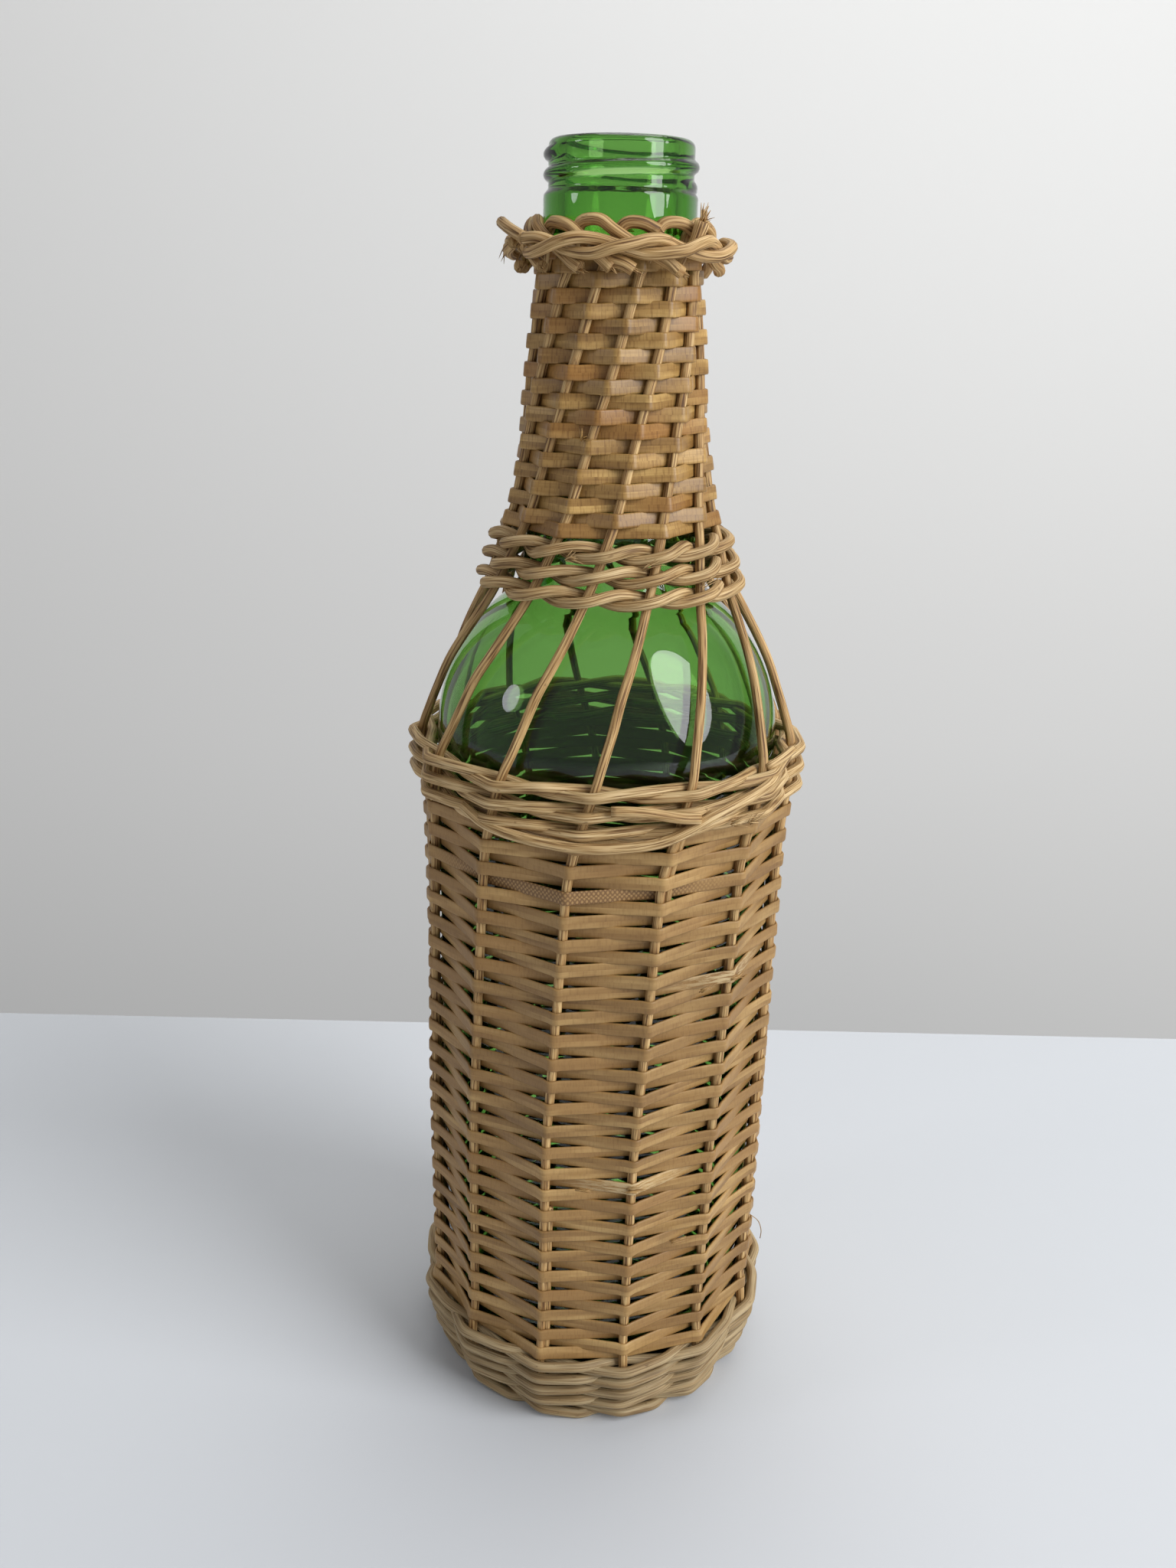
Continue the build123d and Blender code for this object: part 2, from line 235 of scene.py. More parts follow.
def peeled_reed(name, shaded_groove, body, crest, streak_dark):
    """Reed in the colours of its grooves, with painted shade in them, and of its body, crests and dark
    streaks.
    """
    material, tree, surface, _ = new_material(name)
    vessel, streak, fleck = (
        add(
            tree, "TexNoise",
            {"Vector": along_grain(tree, *mark), "Scale": 1.0, "Detail": detail, "Roughness": roughness},
        ).outputs["Fac"]
        for mark, detail, roughness in (
            (REED_VESSEL, 2.0, 0.6), (REED_STREAK, 2.0, 0.5), (REED_FLECK, 4.0, 0.5),
        )
    )
    # the groove colour is darker than the reed itself: painted shade in the vessel grooves on top of their
    # own colour
    grain_and_shade = stopped(add(tree, "ValToRGB", {"Fac": vessel}), [(0.36, shaded_groove), (0.46, body), (0.6, crest)])
    streaks = stopped(add(tree, "ValToRGB", {"Fac": streak}), [(0.36, streak_dark), (0.6, "#FFFFFF")])
    flecks = stopped(add(tree, "ValToRGB", {"Fac": fleck}), [(0.27, "#7A5A3A"), (0.35, "#FFFFFF")])
    toned(tree, surface, darkened(tree, grain_and_shade, [(streaks, 0.6), (flecks, 0.45)]))
    roughened(tree, surface, vessel, strength=0.9, depth_mm=0.25)
    set_inputs(surface, {"Roughness": 0.6, "Specular IOR Level": 0.35})
    return material


# Split cane: the outer skin of rattan, shaved to a flat strip. The skin is
# smooth and satin, with hairlines across it and stains that run along it.
# Hairlines are finer than these, and are drawn coarser so that they show.
SKIN_STAIN = (4.5, 26.0)
SKIN_HAIRLINE = (5.0, 0.55)
SKIN_THREAD = (0.5, 15.0)
SKIN_NICK = (0.9, 2.4)
SKIN_TORN = (0.8, 7.0)
SCORE_SPACING = 0.9
SCORE_SLANT = 0.6
WAVE_LENGTH = 0.31  # a wave texture of scale 1 repeats at about this length


def split_cane(name, dark, body, pale_body, warm_body, roughness, coat, hairline_share, thread_share):
    """Strip in the colours of its stains, with a warmer one for some canes."""
    material, tree, surface, _ = new_material(name)
    stain, hairline, thread, nick, torn = (
        add(
            tree, "TexNoise",
            {"Vector": along_grain(tree, *mark), "Scale": 1.0, "Detail": detail, "Roughness": rough},
        ).outputs["Fac"]
        for mark, detail, rough in (
            (SKIN_STAIN, 3.0, 0.55), (SKIN_HAIRLINE, 2.0, 0.6), (SKIN_THREAD, 2.0, 0.5),
            (SKIN_NICK, 4.0, 0.65), (SKIN_TORN, 4.0, 0.7),
        )
    )
    stains = stopped(add(tree, "ValToRGB", {"Fac": stain}), [(0.32, dark), (0.5, body), (0.7, pale_body)])
    hairlines = stopped(add(tree, "ValToRGB", {"Fac": hairline}), [(0.36, "#A68E70"), (0.5, "#FFFFFF")])
    threads = stopped(add(tree, "ValToRGB", {"Fac": thread}), [(0.34, "#C2AC90"), (0.5, "#FFFFFF")])
    nicks = stopped(add(tree, "ValToRGB", {"Fac": nick}), [(0.22, "#5A3C22"), (0.27, "#FFFFFF")])
    heated = covered(tree, stains, linear(warm_body), coat_share(tree, "warm"))
    skin = darkened(tree, heated, [(hairlines, hairline_share), (threads, thread_share), (nicks, 0.6)])
    # the strip with its bark left on: brown, cut by two sets of slanting scores
    place = add(tree, "UVMap", uv_map="UVMap").outputs["UV"]
    pace = WAVE_LENGTH / (SCORE_SPACING * MM)
    scores = []
    for slant in (SCORE_SLANT, -SCORE_SLANT):
        turned = add(tree, "Mapping", {"Vector": place, "Rotation": (0.0, 0.0, slant)}).outputs["Vector"]
        scores.append(add(
            tree, "TexWave", {"Vector": turned, "Scale": pace, "Distortion": 1.5}, bands_direction="Y",
        ).outputs["Fac"])
    crossed = add(tree, "Math", {0: scores[0], 1: scores[1]}, operation="MULTIPLY")
    bark = stopped(
        add(tree, "ValToRGB", {"Fac": crossed.outputs[0]}),
        [(0.02, "#755633"), (0.3, "#927047"), (0.8, "#A68453")],
    )
    barked = covered(tree, skin, bark, coat_share(tree, "bark"))
    # where the skin is rubbed through, pale torn fibre shows
    tears = stopped(add(tree, "ValToRGB", {"Fac": torn}), [(0.46, "#000000"), (0.54, "#FFFFFF")])
    torn_share = add(tree, "Math", {0: coat_share(tree, "worn"), 1: tears}, operation="MULTIPLY")
    toned(tree, surface, covered(tree, barked, linear("#C4AB7F"), torn_share.outputs[0]))
    relief = add(tree, "Math", {0: hairline, 1: thread}, operation="ADD")
    roughened(tree, surface, relief.outputs[0], strength=0.4, depth_mm=0.06)
    set_inputs(surface, {
        "Roughness": roughness, "Specular IOR Level": 0.4, "Coat Weight": coat, "Coat Roughness": 0.3,
    })
    return material


# Bottle glass: green soda-lime glass blown in a mould. It is clear and deep in
# colour, with soft waves in the wall that bend the reflections.
def moulded_glass(name):
    """Clear glass, whose green deepens with the way that light goes in it."""
    material, tree, surface, output = new_material(name)
    place = add(tree, "TexCoord")
    waves = add(tree, "TexNoise", {"Vector": place.outputs["Object"], "Scale": 22.0, "Detail": 1.0})
    roughened(tree, surface, waves.outputs["Fac"], strength=0.12, depth_mm=3.5)
    set_inputs(surface, {
        "Base Color": linear("#E4F6DC"), "Roughness": 0.015, "IOR": 1.52, "Transmission Weight": 1.0,
    })
    tint = add(tree, "VolumeAbsorption", {"Color": linear("#ADDC68"), "Density": 322.0})
    tree.links.new(tint.outputs["Volume"], output.inputs["Volume"])
    return material


GLASS = moulded_glass("bottle_glass_moulded_green")
# the first colour of each reed is its grooves', with painted shade in it
STAKE_REED = peeled_reed("peeled_reed_stakes", "#6A4C2C", "#AE8A58", "#D2B27C", "#B89C74")
ROW_REED = peeled_reed("peeled_reed_rows", "#7A5C38", "#B09160", "#D8BC8C", "#C4AC86")
FOOT_REED = peeled_reed("peeled_reed_foot", "#8A7453", "#A28D68", "#B8A27B", "#C8B18C")
BORDER_REED = peeled_reed("peeled_reed_border", "#684A2A", "#AC8B58", "#D4B482", "#BCA37C")
BODY_STRIP = split_cane(
    "split_cane_body", "#846338", "#9E7B49", "#BA9861", "#946F3F",
    roughness=0.48, coat=0.04, hairline_share=0.2, thread_share=0.12,
)
NECK_STRIP = split_cane(
    "split_cane_neck", "#7E5C2E", "#9E7A43", "#C09C5E", "#9C6E36",
    roughness=0.42, coat=0.14, hairline_share=0.45, thread_share=0.25,
)


def placed(name, bm, material):
    """A finished mesh in one material, put in the scene as an object."""
    mesh = bpy.data.meshes.new(name)
    bm.to_mesh(mesh)
    bm.free()
    mesh.materials.append(material)
    made = bpy.data.objects.new(name, mesh)
    bpy.context.scene.collection.objects.link(made)
    return made


# Canes: a smooth curve with a section, made a mesh. Its UV map holds
# millimetres round and along the cane, and each cane has its own tone.
def cane_mesh(points, radius, swell, closed, rounding):
    """The mesh of one round cane along dense points."""
    curve = bpy.data.curves.new("cane", "CURVE")
    curve.dimensions = "3D"
    curve.bevel_depth = radius * MM
    curve.bevel_resolution = rounding
    curve.use_fill_caps = not closed
    spline = curve.splines.new("POLY")
    spline.points.add(len(points) - 1)
    for i, (spot, at) in enumerate(zip(spline.points, points)):
        spot.co = (at.x * MM, at.y * MM, at.z * MM, 1.0)
        spot.radius = swell[i] if swell else 1.0
    spline.use_cyclic_u = closed
    spline.use_smooth = True
    holder = bpy.data.objects.new("cane", curve)
    mesh = bpy.data.meshes.new_from_object(holder)
    bpy.data.objects.remove(holder)
    bpy.data.curves.remove(curve)
    return mesh


# Section of a flat cane: shares of its thickness outwards and of its width up
STRIP_SECTION = [
    (0.5, 0.0), (0.49, 0.33), (0.44, 0.43), (0.25, 0.49), (0.0, 0.5), (-0.4, 0.47), (-0.5, 0.38),
    (-0.5, -0.38), (-0.4, -0.47), (0.0, -0.5), (0.25, -0.49), (0.44, -0.43), (0.49, -0.33),
]


def strip_mesh(points, tilts, widths):
    """The mesh of one flat cane: its section carried along the points, with
    the outer face away from the axis."""
    count, sides = len(points), len(STRIP_SECTION)
    rounds = [0.0]
    for a, b in zip(STRIP_SECTION, STRIP_SECTION[1:] + STRIP_SECTION[:1]):
        rounds.append(rounds[-1] + hypot((b[0] - a[0]) * STRIP_THICK, (b[1] - a[1]) * widths[0]))
    lengths = [0.0]
    for a, b in zip(points, points[1:]):
        lengths.append(lengths[-1] + (b - a).length)
    bm = bmesh.new()
    uv = bm.loops.layers.uv.new("UVMap")
    rings = []
    for i, at in enumerate(points):
        run = (points[min(i + 1, count - 1)] - points[max(i - 1, 0)]).normalized()
        up = (Vector((0, 0, 1)) - run * run.z).normalized()
        out = run.cross(up)
        tilt = tilts[i]
        up, out = up * cos(tilt) - out * sin(tilt), out * cos(tilt) + up * sin(tilt)
        rings.append([
            bm.verts.new((at + out * (x * STRIP_THICK) + up * (y * widths[i])) * MM) for x, y in STRIP_SECTION
        ])
    for i in range(count - 1):
        for k in range(sides):
            m = (k + 1) % sides
            face = bm.faces.new((rings[i][k], rings[i][m], rings[i + 1][m], rings[i + 1][k]))
            face.smooth = True
            marks = (
                (rounds[k], lengths[i]), (rounds[k + 1], lengths[i]),
                (rounds[k + 1], lengths[i + 1]), (rounds[k], lengths[i + 1]),
            )
            for loop, mark in zip(face.loops, marks):
                loop[uv].uv = (mark[0] * MM, mark[1] * MM)
    bm.faces.new(rings[0][::-1])
    bm.faces.new(rings[-1])
    mesh = bpy.data.meshes.new("strip")
    bm.to_mesh(mesh)
    bm.free()
    return mesh


# Coats stored on the mesh: brightness of the cane, and the shares of its
# warmer colour, of bark left on and of skin rubbed through
COATS = ("tone", "warm", "bark", "worn")
CANE_TONES = (0.92, 1.08)
# each cane's map starts up to this far on, so that no two are alike
MAP_SHIFT = 400
# torn fibres: radius, spread of their feet, shares of the length, bow of each,
# its shape as shares of run and bow, how it tapers, and tones
FIBRE_R = 0.13
FIBRE_FEET = 0.5
FIBRE_LENGTHS = (0.5, 1.0)
FIBRE_BOWS = (-0.15, 0.1)
FIBRE_SHAPE = [(0.35, 0.3), (0.7, 0.8), (1.0, 1.6)]
FIBRE_TAPER = [1.0, 0.9, 0.7, 0.25]
FIBRE_TONES = (0.9, 1.25)


class Piece:
    """One piece of the basket, gathered from its canes."""

    def __init__(self, name, material, slot, node, seed):
        self.name, self.material, self.slot, self.node = name, material, slot, node
        self.bm = bmesh.new()
        self.bm.loops.layers.uv.new("UVMap")
        self.coats = [self.bm.verts.layers.float.new(coat) for coat in COATS]
        self.chance = random.Random(seed)

    def take(self, mesh, coats):
        """Adds a mesh, with its coats for each point along it."""
        old = len(self.bm.verts)
        self.bm.from_mesh(mesh)
        self.bm.verts.ensure_lookup_table()
        added = self.bm.verts[old:]
        ring = max(1, len(added) // len(coats))
        for k, vert in enumerate(added):
            for layer, value in zip(self.coats, coats[min(k // ring, len(coats) - 1)]):
                vert[layer] = value
        bpy.data.meshes.remove(mesh)

    def round_cane(self, points, radius, swell=None, closed=False, tone=None, rounding=3):
        """Adds a round cane; its map is stretched to real lengths."""
        mesh = cane_mesh(points, radius, swell, closed, rounding)
        ends = len(points) if closed else len(points) - 1
        path = list(points) + (points[:1] if closed else [])
        lengths = np.concatenate(([0.0], np.cumsum([(b - a).length for a, b in zip(path, path[1:])])))
        values = np.empty(len(mesh.loops) * 2, dtype=np.float32)
        layer = mesh.uv_layers[0]
        layer.data.foreach_get("uv", values)
        along, turned = values[0::2].copy(), values[1::2].copy()
        pairs = values.reshape(-1, 2)
        shift = self.chance.uniform(0, MAP_SHIFT)
        pairs[:, 0] = (turned * tau * radius + shift) * MM
        pairs[:, 1] = (np.interp(along * ends, np.arange(len(lengths)), lengths) + shift) * MM
        layer.data.foreach_set("uv", pairs.ravel())
        self.take(mesh, [(tone or self.chance.uniform(*CANE_TONES), 0.0, 0.0, 0.0)])

    def flat_cane(self, points, tilts, widths, coats):
        """Adds a flat cane, with its coats along it."""
        mesh = strip_mesh(points, tilts, widths)
        values = np.empty(len(mesh.loops) * 2, dtype=np.float32)
        layer = mesh.uv_layers[0]
        layer.data.foreach_get("uv", values)
        layer.data.foreach_set("uv", values + self.chance.uniform(0, MAP_SHIFT) * MM)
        self.take(mesh, coats)

    def fibres(self, at, along, count, length, spread, radius=FIBRE_R):
        """Adds torn fibres that stand out from a place."""
        for _ in range(count):
            lean = Vector([waver(self.chance, spread) for _ in range(3)])
            run = (along.normalized() + lean) * length * self.chance.uniform(*FIBRE_LENGTHS)
            start = at + Vector([waver(self.chance, FIBRE_FEET) for _ in range(3)])
            bow = Vector((0, 0, self.chance.uniform(*FIBRE_BOWS) * run.length))
            points = [start] + [start + run * far + bow * bent for far, bent in FIBRE_SHAPE]
            tone = self.chance.uniform(*FIBRE_TONES)
            self.round_cane(points, radius, swell=FIBRE_TAPER, rounding=1, tone=tone)

    def end_fibres(self, points, count, length, spread):
        """Adds torn fibres that go on from the cut end of a cane."""
        self.fibres(points[-1], points[-1] - points[-2], count, length, spread)

    def finish(self):
        """Makes the piece an object that rides on the body."""
        bmesh.ops.remove_doubles(self.bm, verts=self.bm.verts, dist=1e-6)
        bmesh.ops.recalc_face_normals(self.bm, faces=self.bm.faces)
        made = placed(self.name, self.bm, self.material)
        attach(made, "root")
        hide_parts(self.node)


# Stakes: from the hub of the base, round the toe, up the side and neck, and
# into a loop at the border
SPOKE_Z = 3.3
SPOKE_R = (5.6, 22.0, 36.0)
TOE_R, TOE_Z, TOE_BEND = 39.5, 7.3, 4.0
TOE_ANGLES = (-50, -14)
SIDE_FOOT_Z = 11.0
SIDE_TOP_Z = 290.0
SIDE_STEP = 6.2
# between these heights the bare stakes waver less
BARE_FROM_Z, BARE_TO_Z = 180, 225
BARE_WAVER, SIDE_WAVER, LEAN_WAVER = 0.05, 0.1, 0.12
# how stout the reed is at each height, and how its cut end is blunted
STOUT_Z = (165, 185, 225, 240, 290, 296)
STOUT = (1.15, 1.06, 1.06, 1.08, 1.08, 1.27)
BLUNT = 0.16
BLUNT_POINTS = 10
STAKE_SWELL, STAKE_SWELL_PACE = 0.03, 0.31
# the loop: steps round, distance from the axis, height; one is cut off short
BORDER_LOOP = [
    (0.0, 17.6, 293.0), (0.2, 18.0, 296.8), (0.32, 18.4, 300.2), (0.54, 18.9, 302.7),
    (0.93, 19.7, 302.9), (1.33, 20.4, 301.4), (1.73, 20.5, 298.8), (2.03, 20.8, 297.0),
    (2.29, 21.7, 295.6), (2.51, 22.4, 294.4), (2.7, 22.8, 293.3),
]
LOOP_WAVER = (0.06, 0.15, 0.35)
CUT_LOOP = 10
CUT_LOOP_POINTS = 6
# stakes doubled by a thinner reed: degrees beside, lowest and highest place
DOUBLES = {1: (2.5, 154.0, 178.0), 0: (1.7, 23.0, 70.0), 4: (-2.4, 40.0, 92.0)}
DOUBLE_R = 0.85
DOUBLE_BACK = 0.45
DOUBLE_POINTS = 12


def stake_route(index, chance):
    """Points of one stake, with the small waver of a hand-set reed."""
    start = FRONT_STAKE + index * STEP
    foot = start + LINE_LEAN[0]
    points = [polar(r, foot, SPOKE_Z) for r in SPOKE_R + (TOE_R,)]
    for angle in TOE_ANGLES:
        a = radians(angle)
        points.append(polar(TOE_R + TOE_BEND * cos(a), foot, TOE_Z + TOE_BEND * sin(a)))
    height = SIDE_FOOT_Z
    while height < SIDE_TOP_Z:
        radius, lean = stake_at(height)
        most = BARE_WAVER if BARE_FROM_Z <= height <= BARE_TO_Z else SIDE_WAVER
        points.append(polar(radius + waver(chance, most), start + lean + waver(chance, LEAN_WAVER), height))
        height += SIDE_STEP
    for steps, radius, height in BORDER_LOOP[:CUT_LOOP_POINTS if index == CUT_LOOP else None]:
        loose = min(1.0, steps * 2)
        points.append(polar(
            radius + waver(chance, LOOP_WAVER[1]),
            start + LINE_LEAN[-1] + (steps + waver(chance, LOOP_WAVER[0]) * loose) * STEP,
            height + waver(chance, LOOP_WAVER[2]) * loose,
        ))
    return points


for index in range(STAKES):
    node = f"stake_{index + 1:02d}"
    piece = Piece(f"{node}_reed", STAKE_REED, "stake_cane", node, 100 + index)
    route = flowing(stake_route(index, piece.chance), steps=4)
    swell = []
    for i, at in enumerate(route):
        stout = float(np.interp(at.z, STOUT_Z, STOUT))
        blunt = BLUNT * max(0.0, 1.0 - (len(route) - 1 - i) / BLUNT_POINTS)
        swell.append(stout + blunt + STAKE_SWELL * sin(i * STAKE_SWELL_PACE + index))
    piece.round_cane(route, STAKE_R, swell)
    piece.end_fibres(route, count=7, length=1.9, spread=0.3)
    if index in DOUBLES:
        beside, low, high = DOUBLES[index]
        points = []
        for height in np.linspace(low, high, DOUBLE_POINTS):
            radius, lean = stake_at(height)
            points.append(polar(radius - DOUBLE_BACK, FRONT_STAKE + index * STEP + lean + beside, height))
        piece.round_cane(points, DOUBLE_R)
    piece.finish()


# Rows of round cane, each twined round twice, over one stake and behind one
ROW_REACH = STAKE_R + ROUND_R + 0.05
ROW_SLACK = 0.12
ROW_SPACING = 4.5
FOOT_ROW_Z = 7.4
SHOULDER_ROW_Z = 174.3
COLLAR_ROW_Z = 223.6
COLLAR_SPACING = 4.9
ROW_WAVER = (0.08, 0.7, 0.3)
ROW_SWELL, ROW_SWELL_PACE = 0.035, 0.11
# torn fibres point this many degrees round from their place, and a little up
ALONG_ROW = 80
TORN_LIFT = Vector((0, 0, 0.35))
TORN_SPREAD = 0.55
# torn fibres of each row: azimuth, distance from the stakes, height, count, length
SHOULDER_TORN = [[(36, 2.6, 174.5, 12, 4.5), (42, 2.8, 173.5, 10, 4.0)], [(26, 2.9, 178.8, 7, 2.2)], []]
COLLAR_TORN = [[(41, 3.0, 226.0, 3, 5.0)], [(14, 2.7, 230.6, 4, 5.5)], [(-21, 2.3, 232.4, 12, 3.0)]]
# a length of cane that sags below the lowest row in front and climbs at the right
SAGGING = [
    (48.0, -44.0, 175.4), (49.3, -34.0, 173.4), (49.6, -20.0, 172.1), (49.7, -5.5, 171.5),
    (49.7, 5.5, 171.9), (49.9, 14.5, 173.0), (50.3, 21.5, 175.2), (50.9, 27.5, 177.9),
    (51.2, 34.0, 179.7), (50.8, 47.0, 181.9), (48.6, 56.0, 182.6),
]
# the end of one cane, laid outside the middle row and cut off
LAID = [(49.6 + 0.35 * k, 1.0 + 4.6 * k, 180.6 - 0.35 * k + 0.5 * sin(k)) for k in range(6)]
# the stub of another in the top row, pointing out at the right
ROW_STUB = [(47.6, 52.0, 184.6), (49.0, 57.0, 186.0), (49.8, 62.5, 187.2)]
# these three by row: places, steps between them, share of the radius, tone
OUTSIDE_ROWS = [(SAGGING, 4, 0.97, 1.04), (LAID, 3, 0.95, 1.08), (ROW_STUB, 3, 0.8, 1.12)]


def twined_points(height, depth, rise, chance, inner=None, outer=None):
    """Corners of a row; between two stakes it stands depth nearer to or further
    from the axis, and rise lower or higher."""
    radius = stake_at(height)[0]
    fall = (stake_at(height - ROUND_R)[0] - stake_at(height + ROUND_R)[0]) / (2 * ROUND_R)
    reach = ROW_REACH * hypot(fall, 1) + ROW_SLACK
    inner = inner or (radius - reach, height)
    outer = outer or (radius + reach, height)
    middle = ((inner[0] + outer[0]) / 2, (inner[1] + outer[1]) / 2)
    spots = [inner, (middle[0] - depth, middle[1] - rise), outer, (middle[0] + depth, middle[1] + rise)]
    points = []
    for half in range(4 * STAKES):
        azimuth = stake_azimuth(STAKES // 2 + half / 2, height)
        place = (spots[half % 4][0], azimuth, spots[half % 4][1])
        points.append(polar(*(value + waver(chance, most) for value, most in zip(place, ROW_WAVER))))
    return points


def twined_row(name, height, depth, rise, seed, bend, torn=(), reed=ROW_REED, **spots):
    """One twined row as a piece; bend is the length of its bends, or 0."""
    piece = Piece(f"{name}_reed", reed, "round_cane", name, seed)
    corners = twined_points(height, depth, rise, piece.chance, **spots)
    if bend:
        points = flowing(cornered(corners, bend), steps=2, closed=True)
    else:
        points = flowing(corners, steps=7, closed=True)
    swell = [1.0 + ROW_SWELL * sin(i * ROW_SWELL_PACE + seed) for i in range(len(points))]
    piece.round_cane(points, ROUND_R, swell, closed=True)
    for azimuth, out, z, count, length in torn:
        at = polar(stake_at(z)[0] + out, azimuth, z)
        piece.fibres(at, polar(1.0, azimuth + ALONG_ROW, 0.0) + TORN_LIFT, count, length, TORN_SPREAD)
    return piece


twined_row(
    "foot_row_1", FOOT_ROW_Z, depth=0.95, rise=-0.95, seed=31, bend=1.6, reed=FOOT_REED,
    inner=(38.6, 1.35), outer=(44.5, 3.06),
).finish()
for row in range(4):
    twined_row(
        f"foot_row_{row + 2}", FOOT_ROW_Z + ROW_SPACING * row, depth=0.95, rise=0.95, seed=32 + row, bend=1.9,
        reed=FOOT_REED,
    ).finish()
for row in range(3):
    piece = twined_row(
        f"shoulder_row_{row + 1}", SHOULDER_ROW_Z + ROW_SPACING * row, depth=0.95, rise=0.95, seed=41 + row,
        bend=1.5, torn=SHOULDER_TORN[row],
    )
    places, steps, share, tone = OUTSIDE_ROWS[row]
    piece.round_cane(flowing(polars(places), steps), ROUND_R * share, tone=tone)
    if places is ROW_STUB:
        piece.end_fibres(polars(ROW_STUB), count=6, length=1.8, spread=0.3)
    piece.finish()
for row in range(3):
    twined_row(
        f"collar_row_{row + 1}", COLLAR_ROW_Z + COLLAR_SPACING * row, depth=0.3, rise=1.3, seed=51 + row,
        bend=0.0, torn=COLLAR_TORN[row],
    ).finish()


# Flat weaves: one strip climbs in a spiral, over one stake and behind the next
BODY_FOOT_Z, BODY_ROWS, BODY_PIECES = 21.7, 47, 4
NECK_FOOT_Z, NECK_ROWS, NECK_PIECES = 235.9, 19, 2
# middle of the first strip over the foot, and rows short of the top at which
# the strip stops climbing
FIRST_MIDDLE = 1.55
LEVEL_END = 0.42
# the strip over a stake, behind one and tucked in at its end: shares of its
# bend, and how far it falls back from its reach
OVER = [(-2.2, 0.95), (-1.0, 0.3), (-0.35, 0.0), (0.35, 0.0), (1.0, 0.3), (2.2, 0.95)]
BEHIND = [(-1.0, 0.1), (1.0, 0.1)]
TUCKED = [(-1.0, -0.75), (0.6, -0.75)]
RISE_WAVER, TILT_WAVER, SLANT_WAVER = 0.14, 0.03, 0.01
# ranges of how far a strip stands off, its width and its warmth
SLACKS = (-0.04, 0.1)
WIDTHS = (0.97, 1.03)
WARMTHS = (-0.5, 0.8)
TONE_WAVE, TONE_PACE = 0.04, 6.1
LEAN_SPAN = 1.5
# patches of a coat: height, and first and last azimuth
PATCHES = [
    ("bark", 156.6, -42, 37), ("worn", 131.5, 23, 47), ("worn", 78.0, -11, 14), ("worn", 59.8, 17, 33),
]
PATCH_HALF = 1.7
# torn fibres of the body: height, azimuth, count
BODY_TORN = ((131.5, 30, 9), (131.8, 42, 8), (78.3, -6, 8), (78.0, 9, 10), (60.0, 24, 9))
BODY_TORN_R = 47.7
BODY_TORN_LIFT = 0.1
ALONG_STRIP = 88
# torn fibres of the neck: place and way they point
NECK_TORN = (22.6, -19, 258.0)
NECK_TORN_WAY = Vector((0.3, -0.5, 0.6))
# a loose hair, low at the right
HAIR = [(47.2, 66, 50.0), (49.0, 69, 46.5), (49.8, 70, 43.0), (49.6, 70.5, 40.0)]
HAIR_R = 0.12


def patched(height, azimuth):
    """Shares of bark and of worn skin at a place of a weave."""
    facing = (azimuth + 180.0) % 360.0 - 180.0
    found = {
        coat for coat, z, start, end in PATCHES if abs(height - z) < PATCH_HALF and start < facing < end
    }
    return float("bark" in found), float("worn" in found)


def weave_points(foot, width, rows, first_row, last_row, reach, slope_run, chance, uneven):
    """Points, tilts, widths and coats of a band of the spiral. The last band
    goes half a turn further on the level, and each end is tucked inside."""
    points, tilts, widths, coats = [], [], [], []
    first_crossing = first_row * STAKES
    last_crossing = last_row * STAKES + (STAKES // 2 if last_row == rows else 0)
    tone, warm = 1.0, 0.0
    for crossing in range(first_crossing, last_crossing + 1):
        turn = crossing / STAKES
        climb = min(max(turn / 2, turn - 0.5), rows - LEVEL_END)
        height = foot + FIRST_MIDDLE + climb * STRIP_RISE + waver(chance, RISE_WAVER)
        radius = stake_at(height)[0]
        azimuth = stake_azimuth(crossing + STAKES // 2, height)
        outside = crossing % 2
        bend = degrees(slope_run / radius)
        lean = atan2(stake_at(height - LEAN_SPAN)[0] - stake_at(height + LEAN_SPAN)[0], 2 * LEAN_SPAN)
        slack = chance.uniform(*SLACKS)
        side, path = (1, OVER) if outside else (-1, BEHIND)
        if crossing == last_crossing:
            side, path = -1, TUCKED
            tone, warm = 1.0, 0.0
        elif outside:
            tone = 1.0 + waver(chance, uneven) + TONE_WAVE * sin(turn * TONE_PACE)
            warm = max(0.0, chance.uniform(*WARMTHS))
        shade = (tone, warm) if crossing > first_crossing else (1.0, 0.0)
        for share, back in path:
            shift = share * bend
            stand = radius + side * (reach - back) + (slack if outside else 0.0)
            points.append(polar(stand, azimuth + shift, height + shift * waver(chance, SLANT_WAVER)))
            widths.append(width * chance.uniform(*WIDTHS))
            tilts.append(lean + waver(chance, TILT_WAVER))
            coats.append(shade + patched(height, azimuth + shift))
    return points, tilts, widths, coats


def weave(name, foot, width, rows, pieces, reach, slope_run, material, seed, uneven):
    """A weave, divided among its lengths of strip."""
    made = []
    for number in range(pieces):
        node = f"{name}_{number + 1}"
        piece = Piece(f"{node}_strip", material, "flat_cane", node, seed + number)
        first, last = rows * number // pieces, rows * (number + 1) // pieces
        piece.flat_cane(*weave_points(foot, width, rows, first, last, reach, slope_run, piece.chance, uneven))
        made.append(piece)
    return made


